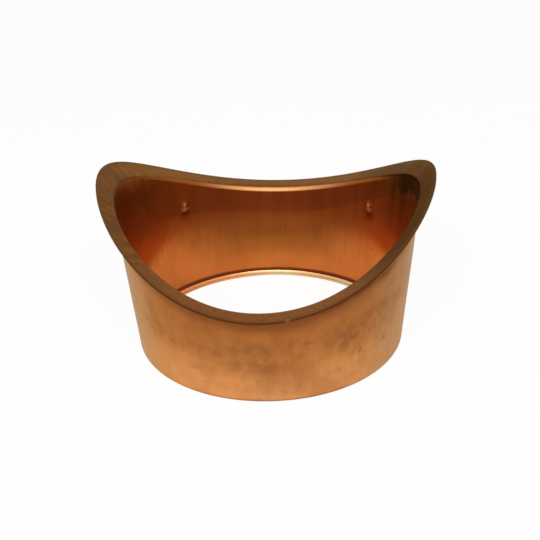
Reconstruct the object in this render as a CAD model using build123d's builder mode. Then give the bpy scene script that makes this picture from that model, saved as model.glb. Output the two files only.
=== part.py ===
from build123d import *
from math import cos, radians, sin, sqrt, tan
import os

os.makedirs("parts", exist_ok=True)

# Gutter outlet of sheet copper, in millimetres.
# One sheet is drawn into a tapered tube, turned in at the foot, with a flange bent out at the mouth.
# The tube stands on Z with its foot on Z = 0, and the gutter that it drains runs along Y.

# Sheet and gutter
sheet = 0.7                # thickness of the copper, the same all over
gutter_radius = 76.2       # inside of the half-round gutter that the flange lies in
drop = 35.5                # from the gutter's floor down to the foot

# Tube
mouth_diameter = 101.6     # outside, at the level of the gutter's floor
wall_lean = 5.47           # degrees that the wall opens out, from the foot up
lip_width = 2.2            # reach of the turned-in edge, from the outside of the foot
lip_radius = 1.4           # inside radius of the turned-in edge

# Flange
flange_width = 6.9         # from the mouth's outside out to the rim, seen from above
bend_radius = 1.5          # inside radius of the bend, on the underside

# Each round of the sheet is laid out in three flats, less than 0.05 mm off the arc where it is tight
first_bevel = 0.55         # of the round's radius, cut back along both faces
second_bevel = 0.26        # of the round's radius, off both edges of the first

# Two dents punched into the back wall from outside, which stand out as pips inside
dent_depth = 0.9           # how far a pip stands off the wall
dent_ball = 2.8            # radius of the punch's round nose
dent_foot = 0.6            # radius where a pip runs out into the wall
dent_below = 1.1           # below the level of the gutter's floor
dent_angles = (-43.5, 46)  # turned from the middle of the back wall, as they were struck

# Worked out from these
lean = radians(wall_lean)
gutter_axis = drop + gutter_radius
rim_radius = mouth_diameter / 2 + flange_width
horn_height = gutter_axis - sqrt(gutter_radius**2 - rim_radius**2)
dent_height = drop - dent_below


def wall_radius(height, skin):
    """Radius of the wall at a height, with skin as the depth under its outer face."""
    return mouth_diameter / 2 + (height - drop) * tan(lean) - skin / cos(lean)


def punch_plane(angle):
    """Where a punch's round nose is centred, with X into the wall and Z up along it."""
    turn = radians(90 - angle)
    out = Vector(cos(turn) * cos(lean), sin(turn) * cos(lean), -sin(lean))
    up = Vector(cos(turn) * sin(lean), sin(turn) * sin(lean), cos(lean))
    radius = wall_radius(dent_height, 0)
    face = Vector(radius * cos(turn), radius * sin(turn), dent_height)
    return Plane(origin=face + out * (dent_ball - dent_depth), x_dir=-out, z_dir=up)


def roll_over(form, edge, radius):
    """Rolls an edge over to a round of this radius, in three flats that follow the arc."""
    chamfer(edge, first_bevel * radius)
    bevel_sides = form.edges(Select.LAST).filter_by(lambda side: side.is_closed)
    chamfer(bevel_sides, second_bevel * radius)


def drawn_form(skin):
    """The tapered tube and the gutter's round above it, at a depth under the sheet's outer face.

    The foot is rolled over for the turned-in lip, the two dents are pressed into the tube, and the
    edge where it meets the gutter's round is rolled over with the bend. Every radius follows the
    depth, so that the sheet between two such forms is equally thick all over.
    """
    with BuildPart() as form:
        with BuildSketch(Plane.XZ):
            with BuildLine():
                Polyline(
                    (0, skin),
                    (wall_radius(skin, skin), skin),
                    (wall_radius(horn_height, skin), horn_height),
                    (0, horn_height),
                    close=True,
                )
            make_face()
        revolve(axis=Axis.Z)
        foot = form.edges().filter_by(GeomType.CIRCLE).sort_by(Axis.Z)[0]
        roll_over(form, foot, lip_radius + sheet - skin)
        for angle in dent_angles:
            with Locations(punch_plane(angle)):
                Sphere(dent_ball + skin, mode=Mode.SUBTRACT)
            dent_rim = form.edges(Select.LAST).filter_by(GeomType.BSPLINE)
            fillet(dent_rim, dent_foot + sheet - skin)
        with Locations((0, 0, gutter_axis)):
            Cylinder(gutter_radius - skin, 4 * rim_radius, rotation=(90, 0, 0))
        mouth = form.edges(Select.LAST).filter_by(GeomType.BSPLINE)
        roll_over(form, mouth, bend_radius + skin)
    return form.part


# The copper outlet: the outer form trimmed to the flange's rim, less the room inside the sheet
with BuildPart() as gutter_outlet:
    add(drawn_form(0))
    with BuildSketch():
        Circle(rim_radius)
    extrude(amount=gutter_axis, mode=Mode.INTERSECT)
    add(drawn_form(sheet), mode=Mode.SUBTRACT)
    with BuildSketch():
        Circle(wall_radius(0, 0) - lip_width)
    extrude(amount=drop, mode=Mode.SUBTRACT)

gutter_outlet.part.label = "gutter_outlet"
export_step(gutter_outlet.part, "parts/gutter_outlet.step")

box = gutter_outlet.part.bounding_box()
print("volume mm3", round(gutter_outlet.part.volume, 1), "solids", len(gutter_outlet.part.solids()))
print("box", box.min, box.max, "faces", len(gutter_outlet.part.faces()))
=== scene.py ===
import bpy
from math import cos, radians, sin, tan
from mathutils import Matrix, Vector


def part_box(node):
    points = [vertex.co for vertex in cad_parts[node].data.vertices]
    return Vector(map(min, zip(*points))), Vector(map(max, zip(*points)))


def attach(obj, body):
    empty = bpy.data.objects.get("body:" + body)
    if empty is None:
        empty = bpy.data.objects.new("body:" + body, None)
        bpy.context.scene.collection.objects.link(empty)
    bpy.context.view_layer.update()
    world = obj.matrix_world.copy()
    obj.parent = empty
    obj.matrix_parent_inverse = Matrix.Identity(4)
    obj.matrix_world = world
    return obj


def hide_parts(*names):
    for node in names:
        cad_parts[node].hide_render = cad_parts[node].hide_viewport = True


# Copper gutter outlet, dressed for a white studio sweep. Everything is in metres, as in the frame.

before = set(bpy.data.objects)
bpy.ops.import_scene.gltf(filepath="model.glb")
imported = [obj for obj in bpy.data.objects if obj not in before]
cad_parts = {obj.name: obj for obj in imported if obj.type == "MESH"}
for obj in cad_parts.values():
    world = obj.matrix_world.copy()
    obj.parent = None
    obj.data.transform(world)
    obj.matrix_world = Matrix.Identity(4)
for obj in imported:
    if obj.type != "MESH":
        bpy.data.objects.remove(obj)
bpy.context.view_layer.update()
print("frame loaded:", ", ".join(sorted(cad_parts)))

mm = 0.001


cameraSet = {
    "place": (0.026308, -0.348297, 0.201962),
    "lookAt": (0.000375, 0.0, 0.025172),
    "roll": 1.93,        # degrees, clockwise, so that the right horn stands higher
    "lens": 73.169,      # millimetres, as is the sensor's width
    "sensor": 36.0,
    "clipStart": 0.01,
}


def makeCamera(settings):
    lens = bpy.data.cameras.new("photoView")
    lens.lens = settings["lens"]
    lens.sensor_width = settings["sensor"]
    lens.clip_start = settings["clipStart"]
    camera = bpy.data.objects.new("photoView", lens)
    bpy.context.collection.objects.link(camera)
    place = Vector(settings["place"])
    back = (place - Vector(settings["lookAt"])).normalized()
    level = Vector((0, 0, 1)).cross(back).normalized()
    above = back.cross(level)
    turn = radians(settings["roll"])
    right = level * cos(turn) - above * sin(turn)
    up = level * sin(turn) + above * cos(turn)
    camera.matrix_world = Matrix.Translation(place) @ Matrix((right, up, back)).transposed().to_4x4()
    bpy.context.scene.camera = camera


makeCamera(cameraSet)
print("camera placed")


class Wire:
    # A socket that adds, multiplies and so on with other sockets and plain numbers
    def __init__(self, tree, socket):
        self.tree = tree
        self.socket = socket

    def join(self, operation, *others):
        node = self.tree.nodes.new("ShaderNodeMath")
        node.operation = operation
        for slot, value in enumerate((self, *others)):
            feed(self.tree, node.inputs[slot], value)
        return Wire(self.tree, node.outputs[0])

    def __add__(self, other):
        return self.join("ADD", other)

    def __sub__(self, other):
        return self.join("SUBTRACT", other)

    def __mul__(self, other):
        return self.join("MULTIPLY", other)

    def __truediv__(self, other):
        return self.join("DIVIDE", other)

    def __neg__(self):
        return self.join("MULTIPLY", -1.0)

    def squared(self):
        return self * self

    def root(self):
        return self.join("SQRT")

    def cosine(self):
        return self.join("COSINE")

    def sine(self):
        return self.join("SINE")

    def above(self, other):
        return self.join("GREATER_THAN", other)

    def atLeast(self, other):
        return self.join("MAXIMUM", other)

    def atMost(self, other):
        return self.join("MINIMUM", other)

    def unit(self):
        return self.atLeast(0.0).atMost(1.0)

    def opposite(self):
        # 1 becomes 0, and 0 becomes 1
        return self * -1.0 + 1.0

    def fade(self):
        # 1 at no distance, falling off in a bell as this squared distance grows
        return (-self).join("EXPONENT")


def feed(tree, slot, value):
    if isinstance(value, Wire):
        tree.links.new(value.socket, slot)
    else:
        slot.default_value = value


def number(tree, value):
    node = tree.nodes.new("ShaderNodeValue")
    node.outputs[0].default_value = value
    return Wire(tree, node.outputs[0])


def point(tree, x, y, z):
    node = tree.nodes.new("ShaderNodeCombineXYZ")
    for slot, value in zip(node.inputs, (x, y, z)):
        feed(tree, slot, value)
    return Wire(tree, node.outputs[0])


def parts(tree, a):
    node = tree.nodes.new("ShaderNodeSeparateXYZ")
    feed(tree, node.inputs[0], a)
    return [Wire(tree, socket) for socket in node.outputs]


def vector(tree, operation, a, b=None, factor=None):
    node = tree.nodes.new("ShaderNodeVectorMath")
    node.operation = operation
    feed(tree, node.inputs[0], a)
    if b is not None:
        feed(tree, node.inputs[1], b)
    if factor is not None:
        feed(tree, node.inputs["Scale"], factor)
    outlet = "Value" if operation in ("DOT_PRODUCT", "LENGTH") else "Vector"
    return Wire(tree, node.outputs[outlet])


def shifted(tree, a, direction, distance):
    return vector(tree, "ADD", a, vector(tree, "SCALE", direction, factor=distance))


def between(tree, a, b, share):
    node = tree.nodes.new("ShaderNodeMix")
    node.data_type = "VECTOR"
    node.clamp_factor = False
    feed(tree, node.inputs["Factor"], share)
    feed(tree, node.inputs[4], a)
    feed(tree, node.inputs[5], b)
    return Wire(tree, node.outputs[1])


noiseMiddle = 0.5      # noise runs from 0 to 1 and is mostly near this


def noise(tree, where, fineness, layers=1.0, roughness=0.5, outlet=0):
    node = tree.nodes.new("ShaderNodeTexNoise")
    feed(tree, node.inputs["Vector"], where)
    feed(tree, node.inputs["Scale"], fineness)
    node.inputs["Detail"].default_value = layers
    node.inputs["Roughness"].default_value = roughness
    return Wire(tree, node.outputs[outlet])


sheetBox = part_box("gutter_outlet")
outletSizes = {
    "Gutter Radius": 76.2 * mm,
    "Drop": 35.5 * mm,
    "Mouth Radius": 50.8 * mm,
    "Wall Lean": radians(5.47),
    "Lip Reach": 2.2 * mm,
    "Lip Radius": 1.4 * mm,
    "Sheet": 0.7 * mm,
    "Bend Radius": 1.5 * mm,
    "Rim Radius": sheetBox[1][0],
    "Pip Height": 0.85 * mm,
    "Pip Nose": 0.42,                 # share of the height that the sharp nose takes
    "Pip Nose Width": 0.5 * mm,
    "Pip Foot Width": 1.5 * mm,
    "Pip Drop": 1.1 * mm,
    "Left Pip": radians(133.5),
    "Right Pip": radians(44.0),
    "Crowding": 0.6,                  # how far rows and columns draw together at a pip
    "Column Crowd": radians(9),       # how wide the crowd of columns is
    "Row Crowd": radians(7),          # and how wide and how high the crowd of rows
    "Row Crowd Height": 3.2 * mm,
    "Unevenness": 0.12 * mm,
    "Wave Fineness": 42.0,
    "Calm Foot": 6 * mm,              # height in which the waves grow to their full size
    "Weld Distance": 0.002 * mm,
    "Crisp Angle": radians(40),       # edges sharper than this stay sharp
}
outletRows = {
    "Columns": 512,
    "Lip Rows": 3,
    "Arc Rows": 9,
    "Wall Rows": 52,
    "Bend Rows": 10,
    "Flange Rows": 8,
}
pipNames = ("Left Pip", "Right Pip")


class SheetPlan:
    # The rule of the drawn sheet, laid out on a grid, stretch by stretch from the lip to the rim
    def __init__(self, tree, size):
        self.tree = tree
        self.size = size
        self.pipHeight = size["Drop"] - size["Pip Drop"]
        self.countRows()
        self.turnColumns()
        self.rollBall()
        self.faceOut()

    def countRows(self):
        # One row number runs up the wet side from the lip to the rim and back down the outside
        size = self.size
        self.arcStart = size["Lip Rows"]
        self.wallStart = self.arcStart + size["Arc Rows"]
        self.bendStart = self.wallStart + size["Wall Rows"]
        self.flangeStart = self.bendStart + size["Bend Rows"]
        sideRows = self.flangeStart + size["Flange Rows"]
        allRows = sideRows * 2.0 + 3.0      # the last row lies on the first and closes the sheet
        grid = self.tree.nodes.new("GeometryNodeMeshGrid")
        feed(self.tree, grid.inputs["Vertices X"], size["Columns"] + 1.0)
        feed(self.tree, grid.inputs["Vertices Y"], allRows)
        self.grid = grid.outputs["Mesh"]
        index = Wire(self.tree, self.tree.nodes.new("GeometryNodeInputIndex").outputs[0])
        self.column = (index / allRows).join("FLOOR")
        row = index - self.column * allRows
        pastRim = row.above(sideRows + 0.5)
        outside = pastRim * (sideRows * 2.0 + 1.5).above(row)
        self.wetSide = outside.opposite()
        self.sideRow = (row + (sideRows * 2.0 + 1.0 - row * 2.0) * pastRim).atLeast(0.0)
        self.depth = size["Sheet"] * self.wetSide
        self.arcShare = self.shareOf(self.arcStart, "Arc Rows")
        self.wallShare = self.shareOf(self.wallStart, "Wall Rows")
        self.bendShare = self.shareOf(self.bendStart, "Bend Rows")
        self.flangeShare = self.shareOf(self.flangeStart, "Flange Rows")
        self.onWall = self.sideRow.above(self.wallStart)
        self.onBend = self.sideRow.above(self.bendStart)
        self.onFlange = self.sideRow.above(self.flangeStart)

    def shareOf(self, start, rows):
        # How far a row has come in its stretch, 0 before it and 1 after it
        return ((self.sideRow - start) / self.size[rows]).unit()

    def turnColumns(self):
        # Columns stand closer together beside the pips
        turn = self.column / self.size["Columns"] * radians(360)
        for name in pipNames:
            off = turn - self.size[name]
            near = (off / self.size["Column Crowd"]).squared().fade()
            turn = turn - off * near * self.size["Crowding"]
        self.turn = turn
        self.across, self.along = turn.cosine(), turn.sine()

    def ring(self, radius, height):
        return point(self.tree, radius * self.across, radius * self.along, height)

    def rollBall(self):
        # Where a ball that rolls in the bend has its centre, and which way wall and flange lie from it
        size, tree, across = self.size, self.tree, self.across
        lean, bend = size["Wall Lean"], size["Bend Radius"]
        self.slope, self.leanCos, self.leanSin = lean.join("TANGENT"), lean.cosine(), lean.sine()
        self.gutterAxis = size["Drop"] + size["Gutter Radius"]
        self.coneFoot = size["Mouth Radius"] - size["Drop"] * self.slope
        ballFoot = self.coneFoot + bend / self.leanCos
        steep = (self.slope * across).squared() + 1.0
        half = self.gutterAxis - self.slope * ballFoot * across.squared()
        reach = (size["Gutter Radius"] + bend).squared()
        rest = self.gutterAxis.squared() + (ballFoot * across).squared() - reach
        height = (half - (half.squared() - steep * rest).root()) / steep
        radius = ballFoot + self.slope * height
        self.ball = self.ring(radius, height)
        wallFacing = (-(self.leanCos * across), -(self.leanCos * self.along), self.leanSin)
        self.toWall = point(tree, *wallFacing)
        flangeFacing = point(tree, -(radius * across), 0.0, self.gutterAxis - height)
        self.toFlange = vector(tree, "NORMALIZE", flangeFacing)
        self.wholeTurn = vector(tree, "DOT_PRODUCT", self.toWall, self.toFlange).join("ARCCOSINE")

    def faceOut(self):
        # Which way the sheet faces as it turns round the ball, from the wall to the flange
        wallPull = (self.bendShare.opposite() * self.wholeTurn).sine()
        flangePull = (self.bendShare * self.wholeTurn).sine()
        wallPart = vector(self.tree, "SCALE", self.toWall, factor=wallPull)
        both = shifted(self.tree, wallPart, self.toFlange, flangePull)
        self.facing = vector(self.tree, "NORMALIZE", both)

    def offBall(self, direction):
        return shifted(self.tree, self.ball, direction, self.size["Bend Radius"] + self.depth)

    def lipPoint(self):
        # The lip, flat on the ground, and the arc that turns it up into the wall
        size = self.size
        centreHeight = size["Lip Radius"] + size["Sheet"]
        centre = self.coneFoot + centreHeight * self.slope - centreHeight / self.leanCos
        arcSize = centreHeight - self.depth
        arcTurn = self.arcShare * (size["Wall Lean"] * -1.0 + radians(90)) - radians(90)
        arcRadius = centre + arcSize * arcTurn.cosine()
        arcHeight = centreHeight + arcSize * arcTurn.sine()
        edge = self.coneFoot - size["Lip Reach"]
        flatRadius = edge + (centre - edge) * self.shareOf(0.0, "Lip Rows")
        onArc = self.sideRow.above(self.arcStart)
        radius = flatRadius + (arcRadius - flatRadius) * onArc
        height = self.depth + (arcHeight - self.depth) * onArc
        return self.ring(radius, height)

    def wallPoint(self, lip):
        # The wall, straight up from the lip, with closer rows where the pips are
        size, tree = self.size, self.tree
        plain = between(tree, lip, self.offBall(self.toWall), self.wallShare)
        pull = number(tree, 0.0)
        for name in pipNames:
            pull = pull + ((self.turn - size[name]) / size["Row Crowd"]).squared().fade()
        off = parts(tree, plain)[2] - self.pipHeight
        near = (off / size["Row Crowd Height"]).squared().fade() * pull.unit() * size["Crowding"]
        return shifted(tree, plain, self.ring(self.slope, 1.0), -(off * near))

    def flangePoint(self):
        # The flange, out to the rim on the gutter's round
        rim = self.ring(self.size["Rim Radius"], 0.0)
        x, y, _ = parts(self.tree, between(self.tree, self.offBall(self.toFlange), rim, self.flangeShare))
        gutterRound = self.size["Gutter Radius"] - self.depth
        height = self.gutterAxis - (gutterRound.squared() - x.squared()).root()
        return point(self.tree, x, y, height)

    def strikePips(self, place):
        # The pips: a blunt punch struck from outside, with a sharp nose on a broad dent
        size, tree = self.size, self.tree
        faceRadius = self.coneFoot + self.pipHeight * self.slope
        bulge = point(tree, 0.0, 0.0, 0.0)
        for name in pipNames:
            across, along = size[name].cosine(), size[name].sine()
            outward = point(tree, across * self.leanCos, along * self.leanCos, -self.leanSin)
            face = point(tree, across * faceRadius, along * faceRadius, self.pipHeight)
            fromFace = vector(tree, "SUBTRACT", place, face)
            inward = vector(tree, "DOT_PRODUCT", fromFace, outward)
            spread = vector(tree, "DOT_PRODUCT", fromFace, fromFace) - inward.squared()
            nose = (spread / size["Pip Nose Width"].squared()).fade() * size["Pip Nose"]
            foot = (spread / size["Pip Foot Width"].squared()).fade() * size["Pip Nose"].opposite()
            rise = (nose + foot) * size["Pip Height"] * self.onWall * self.onBend.opposite()
            bulge = shifted(tree, bulge, outward, -rise)
        return vector(tree, "ADD", place, bulge)

    def wavy(self, place):
        # Slight waves from the drawing, which die out at the foot and at the rim
        swell = noise(self.tree, place, self.size["Wave Fineness"]) - noiseMiddle
        dieFoot = (parts(self.tree, place)[2] / self.size["Calm Foot"]).unit()
        dieRim = self.flangeShare.opposite()
        swell = swell * self.size["Unevenness"] * 2.0 * dieFoot * dieRim
        return shifted(self.tree, place, self.facing, swell)

    def place(self):
        # Each stretch takes over from the one below it
        lip = self.lipPoint()
        place = between(self.tree, lip, self.wallPoint(lip), self.onWall)
        place = between(self.tree, place, self.offBall(self.facing), self.onBend)
        place = between(self.tree, place, self.flangePoint(), self.onFlange)
        return self.wavy(self.strikePips(place))

    def marks(self):
        # What the copper's colours read
        return {
            "arcShare": self.arcShare,
            "wallShare": self.wallShare,
            "bendShare": self.bendShare,
            "flangeShare": self.flangeShare,
            "wetSide": self.wetSide,
        }


def outletInputs(tree):
    face = tree.interface
    face.new_socket("Geometry", in_out="INPUT", socket_type="NodeSocketGeometry")
    for name in outletSizes:
        face.new_socket(name, in_out="INPUT", socket_type="NodeSocketFloat")
    for name in outletRows:
        face.new_socket(name, in_out="INPUT", socket_type="NodeSocketInt")
    face.new_socket("Copper", in_out="INPUT", socket_type="NodeSocketMaterial")
    face.new_socket("Geometry", in_out="OUTPUT", socket_type="NodeSocketGeometry")
    given = tree.nodes.new("NodeGroupInput")
    return {socket.name: Wire(tree, socket) for socket in given.outputs if socket.name}


def setShape(tree, body, plan):
    settle = tree.nodes.new("GeometryNodeSetPosition")
    tree.links.new(body, settle.inputs["Geometry"])
    feed(tree, settle.inputs["Position"], plan.place())
    body = settle.outputs[0]
    for name, value in plan.marks().items():
        store = tree.nodes.new("GeometryNodeStoreNamedAttribute")
        store.data_type = "FLOAT"
        store.domain = "POINT"
        store.inputs["Name"].default_value = name
        tree.links.new(body, store.inputs["Geometry"])
        feed(tree, store.inputs["Value"], value)
        body = store.outputs[0]
    return body


def closeSheet(tree, body, size):
    # Welds the seams, turns the faces outwards and keeps the cut edges crisp
    weld = tree.nodes.new("GeometryNodeMergeByDistance")
    feed(tree, weld.inputs["Distance"], size["Weld Distance"])
    tree.links.new(body, weld.inputs["Geometry"])
    outward = tree.nodes.new("GeometryNodeFlipFaces")
    tree.links.new(weld.outputs[0], outward.inputs["Mesh"])
    soft = tree.nodes.new("GeometryNodeSetShadeSmooth")
    tree.links.new(outward.outputs[0], soft.inputs["Geometry"])
    edgeAngle = Wire(tree, tree.nodes.new("GeometryNodeInputMeshEdgeAngle").outputs[0])
    crisp = tree.nodes.new("GeometryNodeSetShadeSmooth")
    crisp.domain = "EDGE"
    crisp.inputs["Shade Smooth"].default_value = False
    tree.links.new(soft.outputs[0], crisp.inputs["Geometry"])
    feed(tree, crisp.inputs["Selection"], edgeAngle.above(size["Crisp Angle"]))
    return crisp.outputs[0]


def outletTree():
    tree = bpy.data.node_groups.new("copperSheet", "GeometryNodeTree")
    size = outletInputs(tree)
    plan = SheetPlan(tree, size)
    body = closeSheet(tree, setShape(tree, plan.grid, plan), size)
    real = tree.nodes.new("GeometryNodeRealizeInstances")
    tree.links.new(body, real.inputs[0])
    coat = tree.nodes.new("GeometryNodeSetMaterial")
    tree.links.new(real.outputs[0], coat.inputs["Geometry"])
    feed(tree, coat.inputs["Material"], size["Copper"])
    result = tree.nodes.new("NodeGroupOutput")
    tree.links.new(coat.outputs[0], result.inputs[0])
    return tree


def makeOutlet(copper):
    seed = bpy.data.objects.new("outletSeed", bpy.data.meshes.new("outletSeed"))
    bpy.context.collection.objects.link(seed)
    nodes = seed.modifiers.new("copperSheet", "NODES")
    nodes.node_group = outletTree()
    values = {**outletSizes, **outletRows, "Copper": copper}
    for item in nodes.node_group.interface.items_tree:
        if item.in_out == "INPUT" and item.name in values:
            nodes[item.identifier] = values[item.name]
    graph = bpy.context.evaluated_depsgraph_get()
    mesh = bpy.data.meshes.new_from_object(seed.evaluated_get(graph), depsgraph=graph)
    mesh.name = "copperOutlet"
    mesh.materials.clear()
    mesh.materials.append(copper)
    bpy.data.objects.remove(seed, do_unlink=True)
    outlet = bpy.data.objects.new("copperOutlet", mesh)
    bpy.context.collection.objects.link(outlet)
    return outlet


copperLooks = {
    "insideBright": (0.565, 0.176, 0.035, 1),
    "insideWorn": (0.44, 0.132, 0.026, 1),
    "outsideBright": (0.66, 0.280, 0.080, 1),
    "outsideWorn": (0.39, 0.135, 0.032, 1),
    "shadeBelowFlange": (0.28, 0.070, 0.009, 1),   # painted shade: deeper orange below the flange
    "grazingSheen": (0.43, 0.250, 0.130, 1),    # painted reflection: tan where the tube turns away to both sides
    "footTone": (0.60, 0.340, 0.160, 1),    # paler towards the foot
    "bendToneAndBackShade": (0.27, 0.070, 0.008, 1),  # deeper tone in the bend, and painted shade in a band on the back wall
    "stainAndFootShade": (0.23, 0.082, 0.024, 1),       # brown clouds of handling, and painted shade round the outside of the foot
    "tarnishAndShade": (0.12, 0.029, 0.008, 1),      # runs of tarnish, darkest below the horns; also painted shade there, on the back wall, under the pips, under the flange and in the lip's turn
    "residue": (0.026, 0.006, 0.001, 1),    # nearly black, in the bend at the horns
    "flange": (0.225, 0.072, 0.010, 1),
    "flangeDark": (0.080, 0.027, 0.006, 1),
    "flangeWarm": (0.290, 0.100, 0.014, 1),  # towards the back of the left horn
    "flangeGrain": (0.050, 0.018, 0.006, 1),
    "flangeShade": (0.045, 0.006, 0.001, 1),  # the right horn has darkened most
    "flangeRim": (0.085, 0.046, 0.012, 1),  # greener towards the rim
    "flangeFront": (0.235, 0.076, 0.020, 1),
    "cutEdge": (0.105, 0.025, 0.004, 1),
    # painted shade under the flange and on the underside of its bend
    "underside": (0.20, 0.056, 0.014, 1),
    "nick": (0.55, 0.33, 0.17, 1),
    "rubbedAndHighlit": (0.70, 0.40, 0.17, 1),        # the bend on the low sides, partly rubbed and partly a painted highlight, and the fine scratched arc
    "lipLeft": (0.72, 0.36, 0.15, 1),
    "lipRightHighlit": (0.66, 0.62, 0.38, 1),      # cream on the right: partly polished metal, partly a painted highlight
    "sheen": (0.95, 0.74, 0.52, 1),         # what the metal pales to at a glancing angle
    "metal": 0.86,                          # the rest is a thin film of tarnish
    "insideRoughness": 0.12,
    "outsideRoughness": 0.24,
    "flangeRoughness": 0.30,
    "bendRoughness": 0.54,                  # scoured by the tools
    "lipRoughness": 0.70,
    "bumpDistance": 0.02 * mm,
    "bumpStrength": 0.5,
}
# Noise over the sheet: fineness, layers, roughness
copperGrain = {
    "clouds": (62.0, 4.0, 0.6),
    "spots": (230.0, 3.0, 0.65),
    "patches": (35.0, 1.0, 0.5),
    "speckle": (1000.0, 2.0, 0.6),
    "drift": (260.0, 1.0, 0.5),
}
# Noise drawn out in lines: fineness, layers, roughness, and a stretch that is lower for longer lines
copperLines = {
    "drawn": (900.0, 3.0, 0.6, 0.05),
    "runs": (310.0, 1.0, 0.4, 0.02),
    "brushed": (560.0, 3.0, 0.6, 0.14),
    "scraped": (640.0, 2.0, 0.5, 0.03),
}
lineRound = 50 * mm      # radius of the round on which the lines are laid out
# Where each thing starts, and where it is full. Shares run from 0 to 1 over their stretch of the sheet,
# and directions from -1 at the left or the front to 1 at the right or the back.
copperZones = {
    "horns": (0.45, 0.92),           # of the square of the direction to left or right
    "rightHorn": (0.55, 0.95),
    # Patterns all over the sheet
    "clouds": (0.40, 0.70),
    "spots": (0.50, 0.74),
    "mottle": (0.30, 0.62),
    "patches": (0.35, 0.65),
    "drawn": (0.40, 0.68),
    # Inside of the wall
    "runs": (0.40, 0.74),
    "runsUpWall": (0.40, 0.95),
    "hornShade": (0.50, 0.95),
    "overReflection": (-0.4 * mm, 0.6 * mm),   # up from the painted reflection line
    "backWall": (0.35, 0.7),
    "underReflection": (-3 * mm, -8 * mm),
    "overFoot": (6 * mm, 13 * mm),       # up from the foot's plane
    "backMiddle": (0.82, 0.97),
    "arcUp": (17 * mm, 24 * mm),         # up from the foot's plane
    "arcLeft": (-0.62, -0.70),
    # Lip
    "lip": (0.80, 0.50),
    "creamHighlight": (-0.45, 0.05),
    "dullFrom": (0.10, 0.25),
    "dullTo": (0.60, 0.45),
    "creaseFrom": (0.62, 0.86),      # of the lip's arc
    "creaseTo": (0.034, 0.012),      # of the wall above it
    # Bend, with the residue from the wall's top up into it
    "intoBend": (0.0, 0.15),
    "lowSides": (0.62, 0.95),
    "residueFrom": (0.86, 0.98),
    "residueTo": (0.85, 0.45),
    "lowerAtFront": (0.0, -0.4),
    "flangeEdge": (0.48, 0.72),
    "offWall": (0.0, 0.12),
    # Outside
    "upWall": (0.12, 0.75),
    "front": (-0.25, -0.85),
    "turnedAway": (0.40, 0.85),
    "frontHalf": (0.45, -0.15),
    "towardsFoot": (0.45, 0.0),
    "underFlange": (0.74, 0.92),
    "undersideBend": (0.0, 0.4),
    "outsideFoot": (1.0, 0.7),
    # Flange
    "brushed": (0.34, 0.66),
    "brushGaps": (0.36, 0.60),
    "warmLeft": (-0.2, -0.8),
    "warmBack": (0.15, 0.5),
    "scraped": (0.50, 0.62),
    "scrapedOut": (0.75, 0.1),
    "calmLowSides": (0.75, 0.15),
    "calmFront": (0.3, -0.6),
    "shadeRight": (0.45, 0.85),
    "greenRim": (0.55, 1.0),
    "speckle": (0.36, 0.64),
    # Cut edges at the rim and at the foot's opening
    "cutEdge": (0.94, 0.995),
    "footEdge": (0.5 * mm, 0.1 * mm),    # out from the opening's edge
    # Shine
    "bareLines": (0.38, 0.62),
    "scouredFront": (0.35, -0.10),
}
# How strong each thing is where it is full
copperShares = {
    "clouds": 0.75,
    "spots": 0.3,
    "mottle": 0.6,
    # Inside of the wall, and the lip
    "insideTarnish": 0.6,
    "insideDrawn": 0.12,
    "runsAtHorns": 0.40,
    "runsElsewhere": 0.2,
    "hornShade": 0.5,
    "insideStain": 0.6,
    "highlightDip": 0.5,
    "crease": 0.95,
    # Bend
    "bendDeep": 0.7,
    "bendHighlight": 0.45,
    "residueWander": 0.12,           # how far the residue's lower edge wanders with the runs
    "residueRight": 0.05,            # it starts lower at the right horn
    "residueRightTop": 0.15,         # and ends higher
    "residueLeft": 0.2,              # how much of it the left horn has
    "hornsLower": 0.36,              # how much further down the bend the flange's brown comes
    "frontLower": 0.2,
    "raggedHorns": 1.1,              # how ragged that border is at the horns
    # Outside
    "outsideDrawn": 0.10,
    "shadeBelowFlange": 0.62,
    "grazingSheen": 0.82,
    "footTone": 0.28,
    "underside": 0.8,
    "outsideFoot": 0.45,
    # Flange
    "brushGaps": 0.55,
    "warm": 0.5,
    "scraped": 0.55,
    "calmFront": 0.35,
    "calmElsewhere": 0.45,
    "shadeRight": 0.88,
    "greenRim": 0.6,
    "speckle": 0.38,
    # Shine
    "bareLines": 0.6,
    "bareMetal": 0.13,               # how much more metallic it gets there
}
# How much each thing adds to the roughness
copperRoughening = {
    "insideDrawn": 0.10,
    "insideTarnish": 0.06,
    "outsideDrawn": 0.12,
    "outsideTarnish": 0.1,
    "brushed": 0.2,
    "scoured": 0.12,
    "residue": 0.45,
}
# How high the lines stand in the bump
copperRelief = {
    "brushed": 3.2,
    "insideFlatter": 0.88,           # how much less the upright lines show inside
}
arcScratch = {
    "turn": radians(127.6),      # centre of the arc on the inside of the wall
    "height": 15.1 * mm,
    "radius": 18.5 * mm,
    "width": 0.28 * mm,
    "strength": 0.35,
}
# Painted reflection on the back wall: a line where the mirrored foot of the front wall ends
reflectionLine = {
    "height": 25.7 * mm,         # at the middle of the back wall; it climbs to both sides
    "climb": 16 * mm,
    "lean": 0.5,                 # how much faster it climbs to the right
    "dim": 0.26,                 # painted shade: the wall above it is darker
    "deep": 0.40,                # and painted shade in a broad band lower down
}
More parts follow.
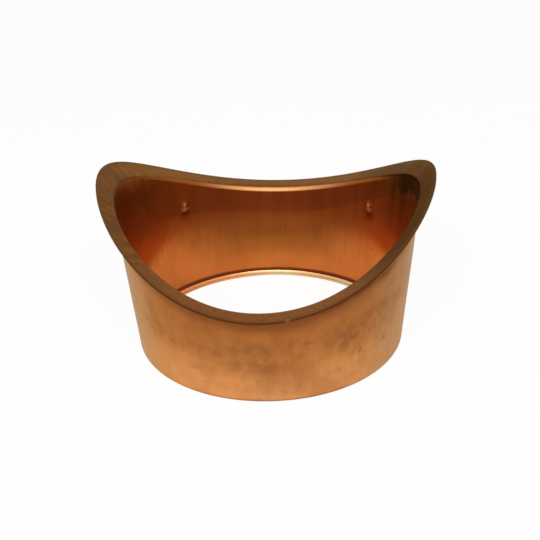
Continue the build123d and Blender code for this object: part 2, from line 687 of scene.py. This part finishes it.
# Marks on the sheet: degrees round, height, half width and half height in mm, slant in degrees, strength
outsideMarks = [
    (305, 22.0, 9.0, 4.2, 8, 0.75),
    (297, 24.5, 5.0, 3.0, 0, 0.35),
    (322, 27.0, 14.0, 9.0, 0, 0.55),
    (330, 33.0, 9.0, 8.0, 0, 0.3),
    (266, 21.5, 9.0, 2.4, 0, 0.55),
    (271, 13.5, 5.0, 2.0, 0, 0.5),
    (253, 20.0, 7.0, 2.0, 0, 0.3),
    (244, 12.0, 4.5, 1.8, 0, 0.3),
    (281, 21.5, 0.8, 4.2, 4, 0.5),
    (288, 22.6, 2.6, 0.45, 12, 0.6),
    (311, 14.0, 1.8, 0.8, 35, 0.7),
    (325.4, 13.9, 1.2, 0.9, 20, 0.7),
    (210, 27.0, 1.0, 2.2, 0, 0.4),
    (216, 23.0, 2.4, 1.6, 30, 0.3),
    (284, 6.5, 1.0, 3.5, 3, 0.3),
    (262, 16.5, 12.0, 5.0, 0, 0.45),
    (305, 17.5, 8.0, 3.5, 0, 0.35),
]
insideMarks = [
    (56, 16.0, 0.5, 6.5, 2, 0.45),
    (40, 17.9, 0.7, 0.6, 0, 0.8),
    (128, 21.0, 0.6, 3.0, -6, 0.3),
]
# Painted shadow: dark lines on the wall just under the front of the flange
flangeShadowMarks = [
    (300, 35.6, 6.5, 0.8, 17, 0.75),
    (311, 38.6, 6.5, 0.9, 17, 0.85),
    (322, 40.5, 5.0, 1.8, 12, 0.6),
]
flangeNicks = [
    (279.5, 36.4, 0.7, 0.5, 5, 0.45),
]
# Painted shadows just below the two pips, on the inside
pipShades = [
    (133.8, 31.9, 2.4, 2.1, 0, 0.95),
    (43.4, 31.9, 2.4, 2.1, 0, 0.95),
]
markReach = {
    "depth": 20 * mm,            # how far a mark reaches in from the wall and out from it
    "nickDepth": 0.35 * mm,
    "nickInset": 0.3 * mm,       # how far inside the rim the nick is centred
    "wideDrift": 4.5 * mm,       # how far the borders of clouds and stains wander
    "smallDrift": 1.8 * mm,
}


def attribute(tree, name):
    node = tree.nodes.new("ShaderNodeAttribute")
    node.attribute_name = name
    return Wire(tree, node.outputs["Fac"])


def ramp(tree, value, start, end):
    node = tree.nodes.new("ShaderNodeMapRange")
    node.interpolation_type = "SMOOTHSTEP"
    feed(tree, node.inputs["Value"], value)
    node.inputs["From Min"].default_value = start
    node.inputs["From Max"].default_value = end
    return Wire(tree, node.outputs[0])


def blend(tree, share, a, b):
    node = tree.nodes.new("ShaderNodeMix")
    node.data_type = "RGBA"
    feed(tree, node.inputs["Factor"], share)
    feed(tree, node.inputs[6], a)
    feed(tree, node.inputs[7], b)
    return Wire(tree, node.outputs[2])


wallSlope = tan(outletSizes["Wall Lean"])
wallFoot = outletSizes["Mouth Radius"] - outletSizes["Drop"] * wallSlope


def softMarkGroup():
    group = bpy.data.node_groups.new("softMark", "ShaderNodeTree")
    face = group.interface
    for name in ("Place", "Centre", "Along", "Upward", "Outward"):
        face.new_socket(name, in_out="INPUT", socket_type="NodeSocketVector")
    face.new_socket("Strength", in_out="INPUT", socket_type="NodeSocketFloat")
    face.new_socket("Mask", in_out="OUTPUT", socket_type="NodeSocketFloat")
    given = group.nodes.new("NodeGroupInput")
    wire = {socket.name: Wire(group, socket) for socket in given.outputs if socket.name}
    off = vector(group, "SUBTRACT", wire["Place"], wire["Centre"])
    spread = number(group, 0.0)
    for name in ("Along", "Upward", "Outward"):
        spread = spread + vector(group, "DOT_PRODUCT", off, wire[name]).squared()
    mask = spread.fade() * wire["Strength"]
    result = group.nodes.new("NodeGroupOutput")
    group.links.new(mask.socket, result.inputs["Mask"])
    return group


def marksOn(tree, group, place, marks, reach=0.0, depth=markReach["depth"]):
    # All marks of one list, laid over each other; reach holds a mark out on the flange
    clear = number(tree, 1.0)
    for turn, height, halfWidth, halfHeight, slant, strength in marks:
        turn, slant = radians(turn), radians(slant)
        radius = max(wallFoot + height * mm * wallSlope, reach)
        out = Vector((cos(turn), sin(turn), 0))
        side = Vector((-sin(turn), cos(turn), 0))
        up = Vector((0, 0, 1))
        along = side * cos(slant) + up * sin(slant)
        upward = up * cos(slant) - side * sin(slant)
        node = tree.nodes.new("ShaderNodeGroup")
        node.node_tree = group
        feed(tree, node.inputs["Place"], place)
        node.inputs["Centre"].default_value = out * radius + up * height * mm
        node.inputs["Along"].default_value = along / (halfWidth * mm)
        node.inputs["Upward"].default_value = upward / (halfHeight * mm)
        node.inputs["Outward"].default_value = out / depth
        node.inputs["Strength"].default_value = strength
        clear = clear * Wire(tree, node.outputs["Mask"]).opposite()
    return clear.opposite()


class CopperSkin:
    # What the copper knows of each point of the sheet, and the colours that it takes from that
    def __init__(self, tree):
        self.tree = tree
        self.where = Wire(tree, tree.nodes.new("ShaderNodeTexCoord").outputs["Object"])
        x, y, self.height = parts(tree, self.where)
        fromAxis = point(tree, x, y, 0.0)
        self.radius = vector(tree, "LENGTH", fromAxis)
        self.toRight, self.toBack, _ = parts(tree, vector(tree, "NORMALIZE", fromAxis))
        self.sideways = self.toRight.squared()
        self.arcShare = attribute(tree, "arcShare")
        self.wallShare = attribute(tree, "wallShare")
        self.bendShare = attribute(tree, "bendShare")
        self.flangeShare = attribute(tree, "flangeShare")
        self.wetSide = attribute(tree, "wetSide")
        self.horn = self.zone(self.sideways, "horns")
        self.rightHorn = self.zone(self.toRight, "rightHorn")
        self.layPatterns()
        self.layMarks()
        self.layLip()
        self.layBend()

    def zone(self, value, name):
        return ramp(self.tree, value, *copperZones[name])

    def tint(self, share, colour, name):
        return blend(self.tree, share, colour, copperLooks[name])

    def grain(self, name):
        return noise(self.tree, self.where, *copperGrain[name])

    def lines(self, name, length):
        fineness, layers, roughness, stretch = copperLines[name]
        place = (self.toRight * lineRound, self.toBack * lineRound, length * stretch)
        return noise(self.tree, point(self.tree, *place), fineness, layers, roughness)

    def layPatterns(self):
        # Tarnish in clouds, fine upright lines from the drawing die, brush lines out to the rim
        self.drawLines = self.lines("drawn", self.height)
        self.runs = self.lines("runs", self.height)
        self.brushLines = self.lines("brushed", self.radius)
        self.spots = self.grain("spots")
        clouds = self.zone(self.grain("clouds"), "clouds") * copperShares["clouds"]
        self.tarnish = (clouds + self.zone(self.spots, "spots") * copperShares["spots"]).unit()
        self.drawn = self.zone(self.drawLines, "drawn") * self.zone(self.grain("patches"), "patches")

    def layMarks(self):
        tree, where = self.tree, self.where
        wander = noise(tree, where, *copperGrain["drift"], outlet=1)
        drift = vector(tree, "SUBTRACT", wander, (noiseMiddle, noiseMiddle, noiseMiddle))
        wide = shifted(tree, where, drift, markReach["wideDrift"])
        small = shifted(tree, where, drift, markReach["smallDrift"])
        group = softMarkGroup()
        self.outsideStain = marksOn(tree, group, wide, outsideMarks)
        self.insideStain = marksOn(tree, group, wide, insideMarks)
        self.paintedFlangeShadow = marksOn(tree, group, small, flangeShadowMarks)
        self.pipShade = marksOn(tree, group, where, pipShades)
        nickRadius = outletSizes["Rim Radius"] - markReach["nickInset"]
        self.nick = marksOn(tree, group, where, flangeNicks, nickRadius, markReach["nickDepth"])

    def layLip(self):
        # The turned-in lip is coppery on the left and cream on the right, less so in between: partly
        # polished metal, partly a painted highlight
        self.lip = self.zone(self.arcShare, "lip")
        dull = self.zone(self.toRight, "dullFrom") * self.zone(self.toRight, "dullTo")
        creamHighlight = self.zone(self.toRight, "creamHighlight") * (dull * -copperShares["highlightDip"] + 1.0)
        self.lipColour = blend(self.tree, creamHighlight, copperLooks["lipLeft"], copperLooks["lipRightHighlit"])

    def layBend(self):
        # How far down the bend the flange's brown comes, and where the residue lies below it
        share = copperShares
        self.onBend = self.zone(self.bendShare, "intoBend")
        edge = self.bendShare + self.horn * share["hornsLower"]
        edge = edge + self.zone(self.toBack, "lowerAtFront") * share["frontLower"]
        edge = edge + (self.brushLines - noiseMiddle) * self.horn * share["raggedHorns"]
        offWall = self.zone(self.bendShare, "offWall")
        self.onFlange = self.zone(edge, "flangeEdge") * offWall * self.wetSide
        lower = self.wallShare + (self.runs - noiseMiddle) * share["residueWander"]
        lower = lower + self.rightHorn * share["residueRight"]
        upper = self.bendShare - self.rightHorn * share["residueRightTop"]
        residue = self.zone(lower, "residueFrom") * self.zone(upper, "residueTo") * self.horn
        left = share["residueLeft"]
        self.residue = residue * (self.rightHorn * (1.0 - left) + left) * self.wetSide

    def runsDown(self, colour):
        # Runs of tarnish on the inside, and a darker wall below the horns, where it is painted shade
        runs = self.zone(self.runs, "runs") * self.zone(self.wallShare, "runsUpWall")
        runs = runs * (self.horn * copperShares["runsAtHorns"] + copperShares["runsElsewhere"])
        colour = self.tint(runs, colour, "tarnishAndShade")
        below = self.horn * self.zone(self.wallShare, "hornShade") * copperShares["hornShade"]
        return self.tint(below, colour, "tarnishAndShade")

    def paintedReflection(self, colour):
        # Painted reflection: the back wall is darker above a line that climbs to both sides, and in a
        # band lower down
        climb = self.sideways * (self.toRight * reflectionLine["lean"] + 1.0) * reflectionLine["climb"]
        overLine = self.height - climb - reflectionLine["height"]
        above = self.zone(overLine, "overReflection") * self.zone(self.toBack, "backWall")
        colour = self.tint(above * reflectionLine["dim"], colour, "tarnishAndShade")
        band = self.zone(overLine, "underReflection") * self.zone(self.height, "overFoot")
        band = band * self.zone(self.toBack, "backMiddle")
        return self.tint(band * reflectionLine["deep"], colour, "bendToneAndBackShade")

    def scratch(self, colour):
        # A fine arc on the left of the back wall
        turn, height = arcScratch["turn"], arcScratch["height"]
        onWall = (wallFoot + height * wallSlope) * Vector((cos(turn), sin(turn), 0))
        centre = tuple(onWall + Vector((0, 0, height)))
        off = vector(self.tree, "SUBTRACT", self.where, centre)
        off = vector(self.tree, "LENGTH", off) - arcScratch["radius"]
        line = (off / arcScratch["width"]).squared().fade()
        line = line * self.zone(self.height, "arcUp") * self.zone(self.toRight, "arcLeft")
        return self.tint(line * arcScratch["strength"], colour, "rubbedAndHighlit")

    def bendToneAndHighlight(self, colour):
        # The bend is deeper in colour, and brighter on the low sides: partly rubbed metal, partly a
        # painted highlight
        lowSides = self.zone(self.toBack.squared(), "lowSides")
        colour = self.tint(self.onBend * copperShares["bendDeep"], colour, "bendToneAndBackShade")
        return self.tint(self.onBend * lowSides * copperShares["bendHighlight"], colour, "rubbedAndHighlit")

    def crease(self, colour):
        # A dark line round the foot of the wall, where the lip turns in: partly dirt, partly painted
        # shade in the turn
        crease = self.zone(self.arcShare, "creaseFrom") * self.zone(self.wallShare, "creaseTo")
        return self.tint(crease * copperShares["crease"], colour, "tarnishAndShade")

    def insideColour(self):
        share = self.tarnish * copperShares["insideTarnish"]
        colour = blend(self.tree, share, copperLooks["insideBright"], copperLooks["insideWorn"])
        colour = self.tint(self.drawn * copperShares["insideDrawn"], colour, "tarnishAndShade")
        colour = self.paintedReflection(self.runsDown(colour))
        colour = self.tint(self.insideStain * copperShares["insideStain"], colour, "stainAndFootShade")
        # Painted shadows below the pips
        colour = self.tint(self.pipShade, colour, "tarnishAndShade")
        colour = blend(self.tree, self.lip, self.scratch(colour), self.lipColour)
        return self.crease(self.bendToneAndHighlight(colour))

    def outsideColour(self):
        colour = blend(self.tree, self.tarnish, copperLooks["outsideBright"], copperLooks["outsideWorn"])
        colour = self.tint(self.drawn * copperShares["outsideDrawn"], colour, "stainAndFootShade")
        # Painted shade: the wall darkens towards the top at the front, below the flange
        upper = self.zone(self.wallShare, "upWall") * self.zone(self.toBack, "front")
        colour = self.tint(upper * copperShares["shadeBelowFlange"], colour, "shadeBelowFlange")
        # Painted reflection: paler tan where the tube turns away to both sides, on the front half
        turned = self.zone(self.sideways, "turnedAway") * self.zone(self.toBack, "frontHalf")
        colour = self.tint(turned * copperShares["grazingSheen"], colour, "grazingSheen")
        towardsFoot = self.zone(self.wallShare, "towardsFoot")
        colour = self.tint(towardsFoot * copperShares["footTone"], colour, "footTone")
        mottle = copperShares["mottle"]
        mottled = self.zone(self.spots, "mottle") * mottle + (1.0 - mottle)
        colour = self.tint(self.outsideStain * mottled, colour, "stainAndFootShade")
        # Painted shade on the wall just under the flange, and on the underside of the bend
        underFlange = self.zone(self.wallShare, "underFlange")
        colour = self.tint(underFlange * copperShares["underside"], colour, "underside")
        colour = self.tint(self.zone(self.bendShare, "undersideBend"), colour, "underside")
        # Painted shadow lines under the front of the flange
        colour = self.tint(self.paintedFlangeShadow, colour, "tarnishAndShade")
        # Painted shade: the outer round of the foot is darker where it nears the floor
        foot = self.zone(self.arcShare, "outsideFoot")
        return self.tint(foot * copperShares["outsideFoot"], colour, "stainAndFootShade")

    def flangeColour(self):
        # Brush lines run straight out across the flange
        gaps = copperShares["brushGaps"]
        brushed = self.zone(self.brushLines, "brushed")
        brushed = brushed * (self.zone(self.spots, "brushGaps") * gaps + (1.0 - gaps))
        colour = blend(self.tree, brushed, copperLooks["flangeDark"], copperLooks["flange"])
        warm = self.zone(self.toRight, "warmLeft") * self.zone(self.toBack, "warmBack")
        colour = self.tint(warm * copperShares["warm"], colour, "flangeWarm")
        scrapes = self.zone(self.lines("scraped", self.radius), "scraped")
        scrapes = scrapes * self.zone(self.flangeShare, "scrapedOut") * self.horn
        colour = self.tint(scrapes * copperShares["scraped"], colour, "flangeDark")
        calm = self.zone(self.toBack, "calmFront") * copperShares["calmFront"]
        calm = self.zone(self.sideways, "calmLowSides") * (calm + copperShares["calmElsewhere"])
        colour = self.tint(calm, colour, "flangeFront")
        shade = self.zone(self.toRight, "shadeRight") * copperShares["shadeRight"]
        colour = self.tint(shade, colour, "flangeShade")
        rim = self.zone(self.flangeShare, "greenRim") * copperShares["greenRim"]
        colour = self.tint(rim, colour, "flangeRim")
        speckle = self.zone(self.grain("speckle"), "speckle")
        return self.tint(speckle * copperShares["speckle"], colour, "flangeGrain")

    def colour(self):
        wall = blend(self.tree, self.wetSide, self.outsideColour(), self.insideColour())
        colour = blend(self.tree, self.onFlange, wall, self.flangeColour())
        colour = self.tint(self.residue, colour, "residue")
        colour = self.tint(self.zone(self.flangeShare, "cutEdge"), colour, "cutEdge")
        fromEdge = self.radius - (wallFoot - outletSizes["Lip Reach"])
        colour = blend(self.tree, self.zone(fromEdge, "footEdge"), colour, self.lipColour)
        return self.tint(self.nick, colour, "nick")

    def metallic(self):
        # The film of tarnish shines least on the right horn's flange and over the residue
        lines = copperShares["bareLines"]
        bare = self.zone(self.brushLines, "bareLines") * lines + (1.0 - lines)
        bare = (self.rightHorn * self.onFlange * bare).atLeast(self.residue)
        return bare * copperShares["bareMetal"] + copperLooks["metal"]

    def roughness(self):
        more = copperRoughening
        inside = self.drawLines * more["insideDrawn"] + self.tarnish * more["insideTarnish"]
        inside = inside + copperLooks["insideRoughness"]
        outside = self.drawLines * more["outsideDrawn"] + self.tarnish * more["outsideTarnish"]
        outside = outside + copperLooks["outsideRoughness"]
        wall = outside + (inside - outside) * self.wetSide
        scoured = self.rightHorn * self.zone(self.toBack, "scouredFront")
        flange = self.brushLines * more["brushed"] + scoured * more["scoured"]
        flange = flange + copperLooks["flangeRoughness"]
        wall = wall + (wall * -1.0 + copperLooks["bendRoughness"]) * self.onBend * self.wetSide
        wall = wall + (wall * -1.0 + copperLooks["lipRoughness"]) * self.lip * self.wetSide
        return wall + (flange - wall) * self.onFlange + self.residue * more["residue"]

    def relief(self):
        drawn = self.drawLines * self.lip.opposite()
        drawn = drawn * (self.wetSide * -copperRelief["insideFlatter"] + 1.0)
        return drawn + (self.brushLines * copperRelief["brushed"] - drawn) * self.onFlange


def makeCopper():
    copper = bpy.data.materials.new("drawnCopper")
    copper.use_nodes = True
    tree = copper.node_tree
    shader = tree.nodes["Principled BSDF"]
    skin = CopperSkin(tree)
    feed(tree, shader.inputs["Base Color"], skin.colour())
    feed(tree, shader.inputs["Metallic"], skin.metallic())
    feed(tree, shader.inputs["Roughness"], skin.roughness())
    shader.inputs["Specular Tint"].default_value = copperLooks["sheen"]
    bump = tree.nodes.new("ShaderNodeBump")
    bump.inputs["Distance"].default_value = copperLooks["bumpDistance"]
    bump.inputs["Strength"].default_value = copperLooks["bumpStrength"]
    feed(tree, bump.inputs["Height"], skin.relief())
    tree.links.new(bump.outputs[0], shader.inputs["Normal"])
    return copper


copper = makeCopper()
outlet = makeOutlet(copper)
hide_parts("gutter_outlet")
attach(outlet, "root")
print("outlet made:", len(outlet.data.polygons), "faces")


studioSet = {
    "paper": (0.86, 0.86, 0.86, 1),
    "white": (1, 1, 1, 1),
    "skyLight": (0.42, 0.42, 0.42, 1),   # what lights the floor; the metal mirrors white
    "whiteSeen": 0.94,                   # how far the floor is plain white to the camera
    "whiteMirrored": 0.15,               # and in the metal, where it keeps the outlet's own shadow
    "floorReach": 6.0,
    "lampAim": (0, 0, 0.02),
}


def rays(tree):
    path = tree.nodes.new("ShaderNodeLightPath")
    names = ("Is Camera Ray", "Is Glossy Ray", "Is Transmission Ray")
    return [Wire(tree, path.outputs[name]) for name in names]


def makePaper():
    paper = bpy.data.materials.new("whitePaper")
    paper.use_nodes = True
    tree = paper.node_tree
    tree.nodes.clear()
    matt = tree.nodes.new("ShaderNodeBsdfDiffuse")
    matt.inputs["Color"].default_value = studioSet["paper"]
    lit = tree.nodes.new("ShaderNodeEmission")
    lit.inputs["Color"].default_value = studioSet["white"]
    lit.inputs["Strength"].default_value = 1.0
    mix = tree.nodes.new("ShaderNodeMixShader")
    seen, glossy, through = rays(tree)
    white = seen * studioSet["whiteSeen"] + (glossy + through) * studioSet["whiteMirrored"]
    feed(tree, mix.inputs[0], white)
    tree.links.new(matt.outputs[0], mix.inputs[1])
    tree.links.new(lit.outputs[0], mix.inputs[2])
    out = tree.nodes.new("ShaderNodeOutputMaterial")
    tree.links.new(mix.outputs[0], out.inputs[0])
    return paper


def makeFloor():
    mesh = bpy.data.meshes.new("studioFloor")
    side = studioSet["floorReach"]
    corners = [(-side, -side, 0), (side, -side, 0), (side, side, 0), (-side, side, 0)]
    mesh.from_pydata(corners, [], [(0, 1, 2, 3)])
    mesh.materials.append(makePaper())
    floor = bpy.data.objects.new("studioFloor", mesh)
    bpy.context.collection.objects.link(floor)


def makeWorld():
    world = bpy.data.worlds.new("studio")
    world.use_nodes = True
    tree = world.node_tree
    tree.nodes.clear()
    sky = tree.nodes.new("ShaderNodeBackground")
    seen, glossy, through = rays(tree)
    white = (seen + glossy + through).unit()
    feed(tree, sky.inputs["Color"], blend(tree, white, studioSet["skyLight"], studioSet["white"]))
    sky.inputs["Strength"].default_value = 1.0
    out = tree.nodes.new("ShaderNodeOutputWorld")
    tree.links.new(sky.outputs[0], out.inputs[0])
    bpy.context.scene.world = world


lampSet = {
    "frontKey": {"place": (0.02, -0.83, 0.74), "wide": 1.0, "deep": 0.4, "watts": 12.8},
}


def makeLamps(lamps):
    for name, lamp in lamps.items():
        light = bpy.data.lights.new(name, "AREA")
        light.shape = "RECTANGLE"
        light.size = lamp["wide"]
        light.size_y = lamp["deep"]
        light.energy = lamp["watts"]
        holder = bpy.data.objects.new(name, light)
        bpy.context.collection.objects.link(holder)
        place = Vector(lamp["place"])
        aim = (Vector(studioSet["lampAim"]) - place).to_track_quat("-Z", "Y")
        holder.matrix_world = Matrix.Translation(place) @ aim.to_matrix().to_4x4()


makeFloor()
makeWorld()
makeLamps(lampSet)
bpy.context.scene.view_settings.view_transform = "Standard"
print("studio lit")
